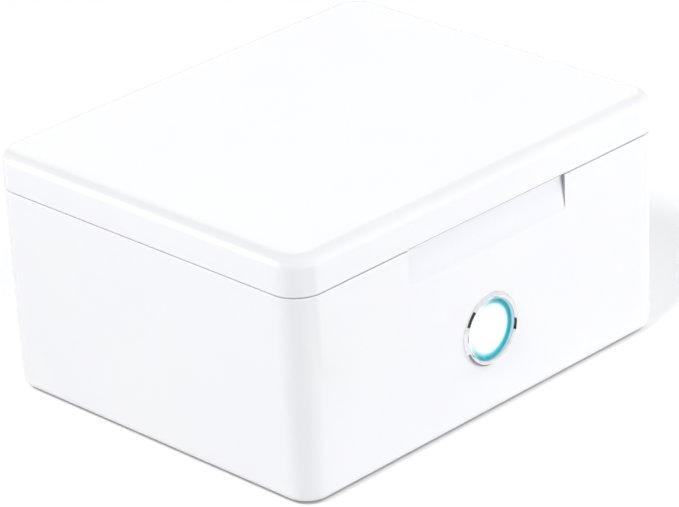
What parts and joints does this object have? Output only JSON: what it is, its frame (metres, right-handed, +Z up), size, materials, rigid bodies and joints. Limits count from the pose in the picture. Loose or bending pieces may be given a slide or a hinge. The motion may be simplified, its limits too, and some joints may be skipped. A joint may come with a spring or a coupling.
{
  "type": "hearing aid dryer",
  "caption": "White desktop box with a rear-hinged lid over a warm air drying chamber, a finger recess under the lid and a round lit push button in the front.",
  "frame": {"origin": "under the middle of the whole object's bounding box, on the surface that the feet stand on", "axes": "+X to the right seen from the front along the longest side, +Y towards the hinge, +Z up"},
  "size_m": [0.12, 0.102, 0.0602],
  "materials": {
    "white_gloss": "glossy moulded white ABS",
    "white_satin": "fine textured moulded white ABS",
    "silver_coat": "vacuum metallised plastic, bright satin",
    "chrome": "polished chrome plate",
    "steel": "plain zinc plated steel",
    "aluminium": "bare pressed aluminium",
    "nickel": "nickel plate",
    "teal_light": "translucent light guide lit teal",
    "milky_white": "milky translucent polycarbonate",
    "black_plastic": "moulded black plastic",
    "green_board": "green solder mask on glass epoxy board",
    "grey_rubber": "matt silicone rubber",
    "clear_glass": "clear quartz glass",
    "ceramic": "matt steatite",
    "copper": "enamelled copper winding"
  },
  "bodies": {
    "root": {"base_shell": "white_gloss", "bottom_cover": "white_satin", "foot_front_left": "grey_rubber", "foot_front_right": "grey_rubber", "foot_rear_left": "grey_rubber", "foot_rear_right": "grey_rubber", "cover_screw_front_left": "steel", "cover_screw_front_right": "steel", "cover_screw_rear_left": "steel", "cover_screw_rear_right": "steel", "chamber_deck": "silver_coat", "chamber_liner": "silver_coat", "diffuser_plate": "white_satin", "heater_core": "aluminium", "control_board": "green_board", "lamp_driver_board": "green_board", "power_jack": "black_plastic", "control_chip": "black_plastic", "smoothing_capacitor": "black_plastic", "transformer_core": "black_plastic", "transformer_coil": "copper", "lamp_window": "clear_glass", "germicidal_lamp": "clear_glass", "lamp_holder_left": "ceramic", "lamp_holder_right": "ceramic", "lamp_reflector": "aluminium", "catch_magnet_left": "nickel", "catch_magnet_right": "nickel", "hinge_pin_left": "steel", "hinge_pin_right": "steel", "lid_sensor": "clear_glass", "fan_frame": "black_plastic", "button_bezel": "chrome", "light_ring": "teal_light", "button_housing": "white_satin", "button_board": "green_board", "tact_switch": "black_plastic", "ring_led_1": "milky_white", "ring_led_2": "milky_white", "ring_led_3": "milky_white", "ring_led_4": "milky_white"},
    "lid": {"lid_shell": "white_gloss", "lid_pan": "silver_coat", "lid_gasket": "grey_rubber", "lid_keeper_left": "nickel", "lid_keeper_right": "nickel", "sensor_magnet": "nickel"},
    "button": {"button_cap": "milky_white", "switch_plunger": "black_plastic"},
    "fan": {"fan_impeller": "black_plastic"}
  },
  "joints": [
    {"name": "lid_hinge", "type": "hinge", "parent": "root", "child": "lid", "pos_m": [0, 0.04882, 0.05095], "axis": [-1, 0, 0], "range_deg": [0, 105]},
    {"name": "button_press", "type": "slide", "parent": "root", "child": "button", "axis": [0, 1, 0], "range_m": [0, 0.0008], "stiffness_N_per_m": 1800},
    {"name": "fan_spin", "type": "hinge", "parent": "root", "child": "fan", "pos_m": [0, 0.00077, 0], "axis": [0, 0, 1], "continuous": true}
  ]
}
